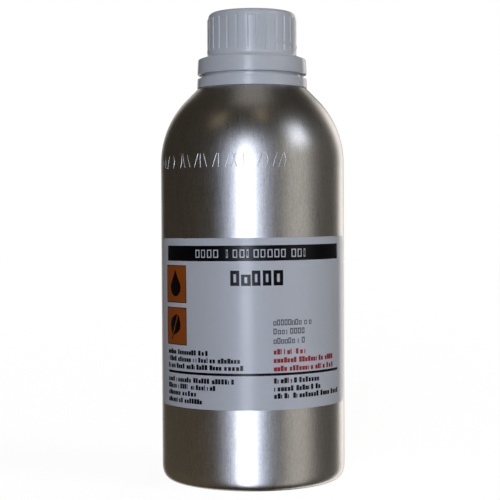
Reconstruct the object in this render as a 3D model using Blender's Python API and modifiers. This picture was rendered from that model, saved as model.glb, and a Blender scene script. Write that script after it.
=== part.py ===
"""An aluminium screw-cap bottle, closed, standing on z = 0 with +Z up and its label facing -Y.

Sizes are in metres. The bottle is one drawn shell of metal. The cap turns up a real helical thread, and the
tamper ring stays behind on the neck.
"""

import math

import bmesh
import bpy
from mathutils import Matrix

MM = 0.001
GAP = 0.3 * MM

# Driving dimensions
TOTAL_HEIGHT = 193.0 * MM
BODY_RADIUS = 38.0 * MM
WALL = 0.5 * MM

# Base of the bottle
CORNER_WIDTH = 4.9 * MM
CORNER_HEIGHT = 6.6 * MM
FOOT_WIDTH = 2.2 * MM
BASE_RISE = 5.0 * MM
BASE_THICKNESS = 0.9 * MM

# Shoulder: an arc from the wall, then a straight cone up to the neck
SHOULDER_START = 130.6 * MM
SHOULDER_ARC_RADIUS = 37.4 * MM
SHOULDER_SLOPE = 45.0

# Neck, its retaining bead and its thread
NECK_RADIUS = 14.0 * MM
NECK_WALL = 0.8 * MM
GROOVE_RADIUS = 16.4 * MM
BEAD_RADIUS = 17.6 * MM
BEAD_HEIGHT = 170.2 * MM
BEAD_THICKNESS = 1.8 * MM
NECK_SLOPE_TOP = 172.8 * MM
LIP_TOP = 188.4 * MM
LIP_RADIUS = 0.6 * MM
THREAD_PITCH = 4.0 * MM
THREAD_ROOT_WIDTH = 2.0 * MM
THREAD_CREST_WIDTH = 1.0 * MM
NECK_THREAD_RADIUS = 15.6 * MM
NECK_THREAD_START = 177.0 * MM
NECK_THREAD_TURNS = 1.5

# Screw cap
CAP_TOP_THICKNESS = 1.8 * MM
CAP_EDGE_RADIUS = 2.2 * MM
RIB_RADIUS = 18.5 * MM
RIB_RELIEF = 0.35 * MM
RIB_COUNT = 28
RIB_GROOVE_WIDTH = 0.9 * MM
RIB_BOTTOM = 176.3 * MM
RIB_TOP = 190.0 * MM
CAP_BORE = 16.3 * MM
CAP_THREAD_RADIUS = 14.95 * MM
CAP_THREAD_TURNS = 1.25
SKIRT_TOP_RADIUS = 22.4 * MM
SKIRT_BOTTOM_RADIUS = 22.7 * MM
SKIRT_BORE = 21.1 * MM
SKIRT_BOTTOM = 167.3 * MM
SKIRT_TOP = 173.7 * MM
SKIRT_ROOF = 173.4 * MM
SLOPE_TOP = 174.9 * MM

# Tamper ring
RING_TOP_RADIUS = 22.65 * MM
RING_BOTTOM_RADIUS = 22.85 * MM
RING_TOP = 165.7 * MM
RING_CLEARANCE = 0.35 * MM
UPSTAND_RADIUS = 20.3 * MM
UPSTAND_THICKNESS = 1.2 * MM
UPSTAND_TOP = 172.4 * MM
HOOK_RADIUS = 17.0 * MM
HOOK_TOP = 168.8 * MM
WINDOW_COUNT = 4
WINDOW_WIDTH = 4.0 * MM

# Stopper and liner
PLUG_RADIUS = 12.8 * MM
PLUG_WALL = 1.0 * MM
PLUG_DEPTH = 7.0 * MM
PLUG_FLANGE_RADIUS = 14.4 * MM
PLUG_FLANGE_THICKNESS = 0.8 * MM
LINER_RADIUS = 15.9 * MM
LINER_THICKNESS = 1.0 * MM

# Label
LABEL_WIDTH = 99.1 * MM
LABEL_HEIGHT = 67.7 * MM
LABEL_CORNER = 2.5 * MM
LABEL_THICKNESS = 0.15 * MM
LABEL_LIFT = 0.1 * MM
LABEL_MIDDLE = 66.4 * MM
LABEL_AZIMUTH = 0.7

BODY_STEPS = 56
SMALL_STEPS = 36
THREAD_STEPS = 32


def clear_scene():
    for old in list(bpy.data.objects):
        bpy.data.objects.remove(old)


def new_collection(name):
    group = bpy.data.collections.new(name)
    bpy.context.scene.collection.children.link(group)
    return group


def plain_material(name, color, roughness, metallic):
    finish = bpy.data.materials.new(name)
    finish.use_nodes = True
    shader = finish.node_tree.nodes["Principled BSDF"]
    shader.inputs["Base Color"].default_value = (*color, 1.0)
    shader.inputs["Roughness"].default_value = roughness
    shader.inputs["Metallic"].default_value = metallic
    return finish


def arc(middle, radii, start, end, count):
    """Points on an ellipse arc as (radius, height); angles in degrees from +X towards +Z."""
    points = []
    for step in range(count + 1):
        angle = math.radians(start + (end - start) * step / count)
        points.append((middle[0] + radii[0] * math.cos(angle), middle[1] + radii[1] * math.sin(angle)))
    return points


def mesh_object(name, group, mesh, finish=None):
    piece = bpy.data.objects.new(name, mesh)
    group.objects.link(piece)
    if finish:
        mesh.materials.append(finish)
    return piece


def turned(name, group, profile, steps, finish=None):
    """A profile of (radius, height) points turned about Z. A closed profile starts and ends on one point."""
    ring = profile[0] == profile[-1]
    points = profile[:-1] if ring else profile
    edges = [(i, i + 1) for i in range(len(points) - 1)]
    if ring:
        edges.append((len(points) - 1, 0))
    mesh = bpy.data.meshes.new(name)
    mesh.from_pydata([(radius, 0.0, height) for radius, height in points], edges, [])
    piece = mesh_object(name, group, mesh, finish)
    screw = piece.modifiers.new("turn", "SCREW")
    screw.axis = "Z"
    screw.steps = steps
    screw.render_steps = steps
    screw.use_merge_vertices = True
    screw.merge_threshold = 0.01 * MM
    screw.use_smooth_shade = True
    return piece


def combine(piece, other, operation):
    """Joins or cuts with a helper, which is kept out of the model."""
    change = piece.modifiers.new(other.name, "BOOLEAN")
    change.operation = operation
    change.solver = "EXACT"
    change.object = other
    other.hide_render = True
    other.display_type = "WIRE"


def thread_ridge(name, group, root, crest, start_height, start_turn, turns):
    """A helical ridge: one trapezoid section swept up and round, closed at both ends."""
    outline = [
        (root, -THREAD_ROOT_WIDTH / 2),
        (crest, -THREAD_CREST_WIDTH / 2),
        (crest, THREAD_CREST_WIDTH / 2),
        (root, THREAD_ROOT_WIDTH / 2),
    ]
    build = bmesh.new()
    section = build.faces.new([build.verts.new((r, 0.0, start_height + z)) for r, z in outline])
    build.transform(Matrix.Rotation(2 * math.pi * start_turn, 4, "Z"))
    steps = round(THREAD_STEPS * turns)
    bmesh.ops.spin(
        build,
        geom=[section, *section.edges, *section.verts],
        axis=(0.0, 0.0, 1.0),
        cent=(0.0, 0.0, 0.0),
        dvec=(0.0, 0.0, THREAD_PITCH * turns / steps),
        angle=2 * math.pi * turns,
        steps=steps,
        use_duplicate=False,
    )
    bmesh.ops.recalc_face_normals(build, faces=build.faces)
    mesh = bpy.data.meshes.new(name)
    build.to_mesh(mesh)
    build.free()
    return mesh_object(name, group, mesh)


def box_mesh(build, size, middle, turn):
    """Adds one box to a mesh being built, turned about Z after it is placed."""
    place = Matrix.Rotation(turn, 4, "Z") @ Matrix.Translation(middle) @ Matrix.Diagonal((*size, 1.0))
    bmesh.ops.create_cube(build, size=1.0, matrix=place)


def shoulder_cone_height(radius, clearance=0.0):
    """Height of the shoulder's straight cone at a radius, or of a line held off it by a clearance."""
    end = math.radians(SHOULDER_SLOPE)
    edge_radius = BODY_RADIUS - SHOULDER_ARC_RADIUS * (1 - math.cos(end))
    edge_height = SHOULDER_START + SHOULDER_ARC_RADIUS * math.sin(end)
    return edge_height + (edge_radius - radius) / math.tan(end) + clearance / math.sin(end)


def base_dome(clearance=0.0):
    """The hollow under the bottle, from the foot ring up to its middle, or a line above it by a clearance."""
    foot_inner = BODY_RADIUS - CORNER_WIDTH - FOOT_WIDTH
    steps = 5
    points = []
    for step in range(steps + 1):
        reach = 1 - step / steps
        points.append((foot_inner * reach, BASE_RISE * (1 - reach**2) + clearance))
    return points


def bottle_inside():
    """The inner surface, from the middle of the base up to the lip."""
    corner_middle = (BODY_RADIUS - CORNER_WIDTH, CORNER_HEIGHT)
    shoulder_middle = (BODY_RADIUS - SHOULDER_ARC_RADIUS, SHOULDER_START)
    inner_arc = SHOULDER_ARC_RADIUS - WALL
    bore = NECK_RADIUS - NECK_WALL
    groove = GROOVE_RADIUS - NECK_WALL
    points = base_dome(BASE_THICKNESS)[::-1]
    points += arc(corner_middle, (CORNER_WIDTH - WALL, CORNER_HEIGHT - BASE_THICKNESS), -90, 0, 4)
    points += arc(shoulder_middle, (inner_arc, inner_arc), 0, SHOULDER_SLOPE, 7)
    points += [
        (groove, shoulder_cone_height(groove, -WALL)),
        (groove, BEAD_HEIGHT - BEAD_THICKNESS / 2),
        (BEAD_RADIUS - NECK_WALL, BEAD_HEIGHT),
        (bore, NECK_SLOPE_TOP - NECK_WALL / 2),
    ]
    return points


def bottle_outside():
    """The outer surface, from the rolled lip down to the middle of the base."""
    bore = NECK_RADIUS - NECK_WALL
    lip_middle = (bore + LIP_RADIUS, LIP_TOP - LIP_RADIUS)
    bead_middle = (BEAD_RADIUS - BEAD_THICKNESS / 2, BEAD_HEIGHT)
    shoulder_middle = (BODY_RADIUS - SHOULDER_ARC_RADIUS, SHOULDER_START)
    corner_middle = (BODY_RADIUS - CORNER_WIDTH, CORNER_HEIGHT)
    points = arc(lip_middle, (LIP_RADIUS, LIP_RADIUS), 180, -60, 6)
    points += [
        (NECK_RADIUS, LIP_TOP - 3 * LIP_RADIUS),
        (NECK_RADIUS, NECK_SLOPE_TOP),
    ]
    points += arc(bead_middle, (BEAD_THICKNESS / 2, BEAD_THICKNESS / 2), 90, -90, 4)
    points += [(GROOVE_RADIUS, shoulder_cone_height(GROOVE_RADIUS))]
    points += arc(shoulder_middle, (SHOULDER_ARC_RADIUS, SHOULDER_ARC_RADIUS), SHOULDER_SLOPE, 0, 7)
    points += arc(corner_middle, (CORNER_WIDTH, CORNER_HEIGHT), 0, -90, 5)
    points += base_dome()
    return points


def make_bottle(group, cutters):
    finish = plain_material("drawn_aluminium", (0.62, 0.62, 0.62), 0.32, 1.0)
    bottle = turned("bottle_shell", group, bottle_inside() + bottle_outside(), BODY_STEPS, finish)
    ridge = thread_ridge(
        "neck_thread", cutters, NECK_RADIUS - NECK_WALL / 2, NECK_THREAD_RADIUS,
        NECK_THREAD_START, 0.0, NECK_THREAD_TURNS,
    )
    combine(bottle, ridge, "UNION")


def cap_profile():
    """The cap's section, all the way round from the middle of its top and back to the middle of its roof."""
    edge_radius = RIB_RADIUS - RIB_RELIEF
    edge_middle = (edge_radius - CAP_EDGE_RADIUS, TOTAL_HEIGHT - CAP_EDGE_RADIUS)
    bevel = 0.35 * MM
    points = [(0.0, TOTAL_HEIGHT)]
    points += arc(edge_middle, (CAP_EDGE_RADIUS, CAP_EDGE_RADIUS), 90, 0, 4)
    points += [
        (RIB_RADIUS, RIB_TOP),
        (RIB_RADIUS, SLOPE_TOP),
        (SKIRT_TOP_RADIUS - 2 * bevel, SKIRT_TOP + bevel),
        (SKIRT_TOP_RADIUS, SKIRT_TOP - bevel),
        (SKIRT_BOTTOM_RADIUS, SKIRT_BOTTOM + bevel),
        (SKIRT_BOTTOM_RADIUS - bevel, SKIRT_BOTTOM),
        (SKIRT_BORE, SKIRT_BOTTOM),
        (SKIRT_BORE, SKIRT_ROOF),
        (CAP_BORE, SKIRT_ROOF),
        (CAP_BORE, TOTAL_HEIGHT - CAP_TOP_THICKNESS),
        (0.0, TOTAL_HEIGHT - CAP_TOP_THICKNESS),
    ]
    return points


def rib_grooves(cutters):
    """The shallow upright grooves that leave the cap's grip ribs between them, as one comb of boxes."""
    build = bmesh.new()
    depth = 2 * RIB_RELIEF
    size = (depth, RIB_GROOVE_WIDTH, TOTAL_HEIGHT - RIB_BOTTOM)
    middle = (RIB_RADIUS - RIB_RELIEF + depth / 2, 0.0, (TOTAL_HEIGHT + RIB_BOTTOM) / 2)
    for rib in range(RIB_COUNT):
        box_mesh(build, size, middle, 2 * math.pi * (rib + 0.5) / RIB_COUNT)
    mesh = bpy.data.meshes.new("rib_grooves")
    build.to_mesh(mesh)
    build.free()
    return mesh_object("rib_grooves", cutters, mesh)


def make_cap(group, cutters, finish):
    cap = turned("cap_shell", group, cap_profile(), BODY_STEPS, finish)
    combine(cap, rib_grooves(cutters), "DIFFERENCE")
    ridge = thread_ridge(
        "cap_thread", cutters, CAP_BORE + 0.5 * MM, CAP_THREAD_RADIUS,
        NECK_THREAD_START - THREAD_PITCH / 2, 0.0, CAP_THREAD_TURNS,
    )
    combine(cap, ridge, "UNION")


def ring_windows(cutters):
    """Boxes that cut the windows through the ring's upright wall, on its diagonals and open at the top."""
    build = bmesh.new()
    length = 3 * UPSTAND_THICKNESS
    height = UPSTAND_TOP - RING_TOP + GAP
    size = (length, WINDOW_WIDTH, height)
    middle = (UPSTAND_RADIUS - UPSTAND_THICKNESS / 2, 0.0, RING_TOP + height / 2)
    for window in range(WINDOW_COUNT):
        box_mesh(build, size, middle, 2 * math.pi * (window + 0.5) / WINDOW_COUNT)
    mesh = bpy.data.meshes.new("ring_windows")
    build.to_mesh(mesh)
    build.free()
    return mesh_object("ring_windows", cutters, mesh)


def make_tamper_ring(group, cutters, finish):
    """A band that follows the shoulder, an upright wall inside the cap's skirt and a hook under the bead."""
    bevel = 0.25 * MM
    upstand_bore = UPSTAND_RADIUS - UPSTAND_THICKNESS
    outer_foot = RING_BOTTOM_RADIUS - bevel
    profile = [
        (upstand_bore, UPSTAND_TOP),
        (UPSTAND_RADIUS, UPSTAND_TOP),
        (UPSTAND_RADIUS, RING_TOP),
        (RING_TOP_RADIUS - bevel, RING_TOP),
        (RING_TOP_RADIUS, RING_TOP - bevel),
        (RING_BOTTOM_RADIUS, shoulder_cone_height(outer_foot, RING_CLEARANCE) + bevel),
        (outer_foot, shoulder_cone_height(outer_foot, RING_CLEARANCE)),
        (HOOK_RADIUS, shoulder_cone_height(HOOK_RADIUS, RING_CLEARANCE)),
        (HOOK_RADIUS, HOOK_TOP),
        (upstand_bore, HOOK_TOP),
        (upstand_bore, UPSTAND_TOP),
    ]
    ring = turned("tamper_ring", group, profile, BODY_STEPS, finish)
    combine(ring, ring_windows(cutters), "DIFFERENCE")


def make_plug(group):
    """A soft cup pushed into the neck, hollow from above, with a thin flange over the lip."""
    finish = plain_material("plug_plastic", (0.86, 0.87, 0.86), 0.45, 0.0)
    flange_top = LIP_TOP + GAP + PLUG_FLANGE_THICKNESS
    bottom = LIP_TOP + GAP - PLUG_DEPTH
    inner = PLUG_RADIUS - PLUG_WALL
    profile = [
        (0.0, bottom + PLUG_WALL),
        (inner, bottom + PLUG_WALL),
        (inner, flange_top),
        (PLUG_FLANGE_RADIUS, flange_top),
        (PLUG_FLANGE_RADIUS, LIP_TOP + GAP),
        (PLUG_RADIUS, LIP_TOP + GAP),
        (PLUG_RADIUS, bottom + PLUG_WALL),
        (PLUG_RADIUS - PLUG_WALL, bottom),
        (0.0, bottom),
    ]
    turned("neck_plug", group, profile, SMALL_STEPS, finish)


def make_liner(group):
    """The soft sealing disc that the cap presses on the stopper."""
    finish = plain_material("liner_foam", (0.83, 0.83, 0.81), 0.7, 0.0)
    top = TOTAL_HEIGHT - CAP_TOP_THICKNESS - GAP
    bottom = top - LINER_THICKNESS
    profile = [(0.0, top), (LINER_RADIUS, top), (LINER_RADIUS, bottom), (0.0, bottom)]
    turned("cap_liner", group, profile, SMALL_STEPS, finish)


def label_columns():
    """Columns across the flat label: how far along it, and half its height there inside the round corners."""
    corner_steps = 4
    flat_steps = 24
    half = LABEL_WIDTH / 2
    columns = []
    for step in range(corner_steps + 1):
        angle = math.pi / 2 * step / corner_steps
        along = -half + LABEL_CORNER * (1 - math.cos(angle))
        columns.append((along, LABEL_HEIGHT / 2 - LABEL_CORNER * (1 - math.sin(angle))))
    flat = LABEL_WIDTH - 2 * LABEL_CORNER
    for step in range(1, flat_steps):
        columns.append((-flat / 2 + flat * step / flat_steps, LABEL_HEIGHT / 2))
    columns += [(-along, height) for along, height in reversed(columns[: corner_steps + 1])]
    return columns


def make_label(group):
    """A strip with round corners wrapped round the wall, thickened outwards."""
    finish = plain_material("label_paper", (0.80, 0.83, 0.90), 0.4, 0.0)
    radius = BODY_RADIUS + LABEL_LIFT
    build = bmesh.new()
    last = None
    for along, half_height in label_columns():
        angle = along / BODY_RADIUS + math.radians(LABEL_AZIMUTH - 90)
        x = radius * math.cos(angle)
        y = radius * math.sin(angle)
        low = build.verts.new((x, y, LABEL_MIDDLE - half_height))
        high = build.verts.new((x, y, LABEL_MIDDLE + half_height))
        if last:
            build.faces.new((last[0], low, high, last[1]))
        last = (low, high)
    mesh = bpy.data.meshes.new("label")
    build.to_mesh(mesh)
    build.free()
    label = mesh_object("label", group, mesh, finish)
    solid = label.modifiers.new("paper", "SOLIDIFY")
    solid.thickness = LABEL_THICKNESS
    solid.offset = 1.0


def main():
    clear_scene()
    parts = new_collection("screw_cap_bottle")
    cutters = new_collection("cutters")
    cap_finish = plain_material("cap_plastic", (0.80, 0.83, 0.86), 0.35, 0.0)
    make_bottle(parts, cutters)
    make_cap(parts, cutters, cap_finish)
    make_tamper_ring(parts, cutters, cap_finish)
    make_plug(parts)
    make_liner(parts)
    make_label(parts)


main()
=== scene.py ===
# %% [markdown]
# # A drawn aluminium bottle with a screw cap
# This lesson dresses a plain working model of a bottle in its real surfaces. The model already has the right
# sizes and the screw motion of the cap. Here each piece gets a fine mesh and a finish of its own.
# All lengths are in metres, +Z is up, and the label faces -Y.

# %% Load the working model
import math
import random

import bmesh
import bpy
from mathutils import Matrix, Vector


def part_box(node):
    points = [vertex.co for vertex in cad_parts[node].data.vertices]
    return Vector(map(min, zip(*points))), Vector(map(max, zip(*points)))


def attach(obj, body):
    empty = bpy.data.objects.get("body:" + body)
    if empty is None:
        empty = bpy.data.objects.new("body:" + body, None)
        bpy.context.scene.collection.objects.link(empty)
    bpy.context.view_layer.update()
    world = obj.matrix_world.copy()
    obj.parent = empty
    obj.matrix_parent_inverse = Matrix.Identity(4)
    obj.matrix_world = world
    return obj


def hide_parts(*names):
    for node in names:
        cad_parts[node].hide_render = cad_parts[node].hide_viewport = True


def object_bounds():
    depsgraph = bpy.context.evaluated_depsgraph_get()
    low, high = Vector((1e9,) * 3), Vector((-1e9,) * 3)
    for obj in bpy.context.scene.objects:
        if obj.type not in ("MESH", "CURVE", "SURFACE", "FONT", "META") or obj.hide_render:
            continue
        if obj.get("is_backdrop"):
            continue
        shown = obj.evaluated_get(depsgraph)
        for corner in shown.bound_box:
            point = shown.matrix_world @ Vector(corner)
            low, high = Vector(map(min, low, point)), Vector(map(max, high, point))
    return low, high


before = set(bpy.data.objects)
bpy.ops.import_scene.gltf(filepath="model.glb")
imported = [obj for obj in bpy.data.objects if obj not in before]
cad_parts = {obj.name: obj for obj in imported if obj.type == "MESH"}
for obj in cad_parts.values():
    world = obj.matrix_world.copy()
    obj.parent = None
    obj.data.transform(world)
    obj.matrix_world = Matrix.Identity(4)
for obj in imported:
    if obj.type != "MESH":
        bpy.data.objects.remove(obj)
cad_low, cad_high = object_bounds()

MM = 0.001
print("nodes:", sorted(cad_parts))

# %% [markdown]
# ## Sizes
# The outer sizes come from the working model, so the looks can't drift from it. The few sizes that the model
# doesn't tell, such as the radius of a rounded edge, are named here once.

# %% Sizes from the working model
bottle_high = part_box("bottle_shell")[1]
cap_low, cap_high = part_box("cap_shell")
ring_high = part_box("tamper_ring")[1]
label_low, label_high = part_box("label")
liner_low, liner_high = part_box("cap_liner")
plug_low, plug_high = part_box("neck_plug")

WALL_RADIUS = bottle_high[0]
LIP_TOP = bottle_high[2]
CAP_TOP = cap_high[2]
SKIRT_BOTTOM = cap_low[2]
SKIRT_RADIUS = cap_high[0]
RING_RADIUS = ring_high[0]
LABEL_MIDDLE = (label_low[2] + label_high[2]) / 2
print(f"wall radius {WALL_RADIUS / MM:.1f} mm, lip at {LIP_TOP / MM:.1f} mm")
print(f"cap top at {CAP_TOP / MM:.1f} mm")

# %% Sizes of the small shapes
WALL = 0.5 * MM
CORNER_WIDTH = 4.9 * MM
CORNER_HEIGHT = 6.6 * MM
FOOT_WIDTH = 2.2 * MM
BASE_RISE = 5.0 * MM
BASE_THICKNESS = 0.9 * MM
SHOULDER_START = 130.6 * MM
SHOULDER_ARC = 37.4 * MM
NECK_RADIUS = 14.0 * MM
NECK_WALL = 0.8 * MM
GROOVE_RADIUS = 16.4 * MM
BEAD_RADIUS = 17.6 * MM
BEAD_HEIGHT = 170.2 * MM
BEAD_HALF = 0.9 * MM
NECK_SLOPE_TOP = 172.8 * MM
LIP_ROUND = 0.6 * MM
THREAD_PITCH = 4.0 * MM
THREAD_START = 177.0 * MM

# %% [markdown]
# ## Turned pieces
# A bottle, a cap and a ring are all made by turning. Each one starts as a thin line, its profile, drawn from
# the axis outwards. A Screw modifier spins the line once round. The outer side of the line runs downwards,
# because that makes the faces point out. Round stretches come from an arc function, so a profile lists only
# the points that its shape needs.

# %% Helpers for turned pieces
def arc(middle, radii, start, end, count):
    """Points along an ellipse arc as (radius, height), angles in degrees from +X towards +Z."""
    points = []
    for step in range(count + 1):
        angle = math.radians(start + (end - start) * step / count)
        points.append((middle[0] + radii[0] * math.cos(angle), middle[1] + radii[1] * math.sin(angle)))
    return points


def eased(points, reach, count=4):
    """Rounds each inner corner of a line of points by a short curve that starts `reach` away."""
    soft = [points[0]]
    for before, corner, after in zip(points, points[1:], points[2:]):
        legs = []
        for other in (before, after):
            leg = Vector(other) - Vector(corner)
            legs.append(leg.normalized() * min(reach, leg.length * 0.45))
        for step in range(count + 1):
            t = step / count
            curve = legs[0] * (1 - t) ** 2 + legs[1] * t**2
            soft.append((corner[0] + curve[0], corner[1] + curve[1]))
    soft.append(points[-1])
    return soft


def flat_mesh(name, points, edges, faces=()):
    mesh = bpy.data.meshes.new(name)
    mesh.from_pydata(points, edges, faces)
    return mesh


def new_piece(name, mesh):
    piece = bpy.data.objects.new(name, mesh)
    bpy.context.scene.collection.objects.link(piece)
    return piece


def as_plain_mesh(piece):
    """Replaces a piece's mesh by what its modifiers make of it, and drops the modifiers."""
    bpy.context.view_layer.update()
    graph = bpy.context.evaluated_depsgraph_get()
    mesh = bpy.data.meshes.new_from_object(piece.evaluated_get(graph))
    piece.modifiers.clear()
    piece.data = mesh
    return piece


def smooth(piece, sharp_angle=40):
    piece.data.shade_smooth()
    piece.data.set_sharp_from_angle(angle=math.radians(sharp_angle))


def turned(name, profile, steps):
    ring = profile[0] == profile[-1]
    points = profile[:-1] if ring else profile
    edges = [(i, i + 1) for i in range(len(points) - 1)]
    if ring:
        edges.append((len(points) - 1, 0))
    piece = new_piece(name, flat_mesh(name, [(radius, 0.0, height) for radius, height in points], edges))
    screw = piece.modifiers.new("turn", "SCREW")
    screw.steps = steps
    screw.render_steps = steps
    screw.use_merge_vertices = True
    screw.merge_threshold = 0.002 * MM
    as_plain_mesh(piece)
    smooth(piece)
    print(f"{name}: turned, {len(piece.data.polygons)} faces")
    return piece

# %% [markdown]
# ## Building node trees
# Geometry Nodes make what repeats: the grip ribs, the screw threads, the stamped marks and the rows of print.
# The small helper class below keeps that short. It makes the tree, its named inputs and its nodes, and it
# sets the inputs of a modifier by their identifiers, which stay valid when a name is used twice.

# %% Helpers for node trees
class Tree:
    """A geometry node tree being written, with its own input and output nodes."""

    def __init__(self, name, inputs):
        self.tree = bpy.data.node_groups.new(name, "GeometryNodeTree")
        face = self.tree.interface
        face.new_socket("Geometry", in_out="INPUT", socket_type="NodeSocketGeometry")
        for label, kind, value in inputs:
            socket = face.new_socket(label, in_out="INPUT", socket_type=f"NodeSocket{kind}")
            if value is not None:
                socket.default_value = value
        face.new_socket("Geometry", in_out="OUTPUT", socket_type="NodeSocketGeometry")
        self.start = self.tree.nodes.new("NodeGroupInput")
        self.end = self.tree.nodes.new("NodeGroupOutput")

    def add(self, kind, links=None, **settings):
        """Adds a node. `links` maps an input's name or number to a value or to another node's output."""
        node = self.tree.nodes.new(kind)
        for key, value in settings.items():
            setattr(node, key, value)
        for key, value in (links or {}).items():
            if isinstance(value, bpy.types.NodeSocket):
                self.tree.links.new(value, node.inputs[key])
            else:
                node.inputs[key].default_value = value
        return node

    def math(self, operation, first, second=0.0, third=0.0):
        node = self.add("ShaderNodeMath", {0: first, 1: second, 2: third}, operation=operation)
        return node.outputs[0]

    def given(self, label):
        return self.start.outputs[label]

    def finish(self, geometry, material):
        """Ends the tree: instances become real and the result takes its material."""
        real = self.add("GeometryNodeRealizeInstances", {0: geometry})
        painted = self.add("GeometryNodeSetMaterial", {0: real.outputs[0], "Material": material})
        self.tree.links.new(painted.outputs[0], self.end.inputs[0])
        return self.tree


def run_tree(piece, tree, **values):
    """Runs a tree on a piece with named inputs, where `wall_radius` means the input "Wall Radius"."""
    modifier = piece.modifiers.new(tree.name, "NODES")
    modifier.node_group = tree
    for item in tree.interface.items_tree:
        key = item.name.lower().replace(" ", "_")
        if item.in_out == "INPUT" and key in values:
            modifier[item.identifier] = values[key]
    as_plain_mesh(piece)
    piece.data.materials.clear()
    piece.data.materials.append(values["material"])
    print(f"{piece.name}: {tree.name}, {len(piece.data.polygons)} faces")
    return piece

# %% [markdown]
# ## Finishes: shared effects
# Two effects are used by more than one material, so each is a node group. `draw_lines` is the fine grain that
# drawing and brushing leave in metal. It is read along the wall, so the lines run up the bottle, over the
# shoulder towards the neck and across the base towards its middle. `soft_wear` is the faint uneven gloss
# that handling leaves on everything.

# %% Shader node groups
def shader_group(name, inputs, outputs):
    group = bpy.data.node_groups.new(name, "ShaderNodeTree")
    for label, kind, value in inputs:
        socket = group.interface.new_socket(label, in_out="INPUT", socket_type=f"NodeSocket{kind}")
        if value is not None:
            socket.default_value = value
    for label, kind in outputs:
        group.interface.new_socket(label, in_out="OUTPUT", socket_type=f"NodeSocket{kind}")
    return group, group.nodes.new("NodeGroupInput"), group.nodes.new("NodeGroupOutput")


def shader_node(tree, kind, links=None, **settings):
    node = tree.nodes.new(kind)
    for key, value in settings.items():
        setattr(node, key, value)
    for key, value in (links or {}).items():
        if isinstance(value, bpy.types.NodeSocket):
            tree.links.new(value, node.inputs[key])
        else:
            node.inputs[key].default_value = value
    return node


def noise(tree, place, scale, detail=3.0, roughness=0.6):
    links = {"Vector": place, "Scale": scale, "Detail": detail, "Roughness": roughness}
    return shader_node(tree, "ShaderNodeTexNoise", links).outputs["Fac"]


def calculate(tree, operation, first, second=0.0, third=0.0):
    links = {0: first, 1: second, 2: third}
    return shader_node(tree, "ShaderNodeMath", links, operation=operation).outputs[0]


def make_draw_lines():
    """Streaks along the turned surface: the place is pushed out to one radius, then squeezed in height."""
    inputs = [("Radius", "Float", WALL_RADIUS), ("Squeeze", "Float", 0.08), ("Scale", "Float", 1500.0)]
    group, start, end = shader_group("draw_lines", inputs, [("Lines", "Float"), ("Grain", "Float")])
    place = shader_node(group, "ShaderNodeTexCoord").outputs["Object"]
    parts = shader_node(group, "ShaderNodeSeparateXYZ", {0: place})
    x, y, z = parts.outputs
    squared = calculate(group, "ADD", calculate(group, "MULTIPLY", x, x), calculate(group, "MULTIPLY", y, y))
    reach = calculate(group, "MAXIMUM", calculate(group, "SQRT", squared), 0.5 * MM)
    spread = calculate(group, "DIVIDE", start.outputs["Radius"], reach)
    along = calculate(group, "MULTIPLY", z, start.outputs["Squeeze"])
    links = {
        0: calculate(group, "MULTIPLY", x, spread),
        1: calculate(group, "MULTIPLY", y, spread),
        2: along,
    }
    streaky = shader_node(group, "ShaderNodeCombineXYZ", links).outputs[0]
    lines = noise(group, streaky, start.outputs["Scale"], detail=5.0, roughness=0.65)
    group.links.new(lines, end.inputs["Lines"])
    half = calculate(group, "MULTIPLY", z, 0.35)
    links = {0: x, 1: y, 2: half}
    grainy = shader_node(group, "ShaderNodeCombineXYZ", links).outputs[0]
    grain = noise(group, grainy, calculate(group, "MULTIPLY", start.outputs["Scale"], 1.6), detail=2.0)
    group.links.new(grain, end.inputs["Grain"])
    return group


def make_soft_wear():
    """Large and small cloudy patches, from 0 to 1."""
    inputs = [("Scale", "Float", 60.0), ("Contrast", "Float", 1.0)]
    group, start, end = shader_group("soft_wear", inputs, [("Patches", "Float")])
    place = shader_node(group, "ShaderNodeTexCoord").outputs["Object"]
    cloud = noise(group, place, start.outputs["Scale"], detail=4.0)
    links = {"Value": cloud, "From Min": 0.3, "From Max": 0.7, "To Min": 0.0, "To Max": 1.0}
    ranged = shader_node(group, "ShaderNodeMapRange", links).outputs["Result"]
    powered = calculate(group, "POWER", ranged, start.outputs["Contrast"])
    group.links.new(powered, end.inputs["Patches"])
    return group


DRAW_LINES = make_draw_lines()
SOFT_WEAR = make_soft_wear()
print("effects:", DRAW_LINES.name, SOFT_WEAR.name)

# %% Helpers for materials
def new_finish(name, roughness, metallic=0.0, **sockets):
    finish = bpy.data.materials.new(name)
    finish.use_nodes = True
    tree = finish.node_tree
    shader = tree.nodes["Principled BSDF"]
    shader.inputs["Roughness"].default_value = roughness
    shader.inputs["Metallic"].default_value = metallic
    for label, value in sockets.items():
        shader.inputs[label.replace("_", " ")].default_value = value
    return finish, tree, shader


def use_group(tree, group, **values):
    node = shader_node(tree, "ShaderNodeGroup", node_tree=group)
    for label, value in values.items():
        node.inputs[label].default_value = value
    return node


def mixed_color(tree, factor, first, second):
    """Goes from the first colour to the second. A colour mix keeps its colours in sockets 6, 7 and 2."""
    node = shader_node(tree, "ShaderNodeMix", data_type="RGBA")
    tree.links.new(factor, node.inputs[0])
    node.inputs[6].default_value = (*first, 1.0)
    node.inputs[7].default_value = (*second, 1.0)
    return node.outputs[2]


def ranged(tree, value, low, high):
    links = {"Value": value, "To Min": low, "To Max": high}
    return shader_node(tree, "ShaderNodeMapRange", links).outputs["Result"]


def bumped(tree, shader, height, strength, distance):
    links = {"Height": height, "Strength": strength, "Distance": distance}
    bump = shader_node(tree, "ShaderNodeBump", links)
    tree.links.new(bump.outputs["Normal"], shader.inputs["Normal"])

# %% [markdown]
# ## Brushed aluminium
# The metal is satin: it has no sharp reflections, but the light spreads sideways into a soft upright band,
# because the fine lines of drawing and brushing run up the wall. So the lines go into the bump, and the
# roughness and the colour change a little with them and with old finger marks.

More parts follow.
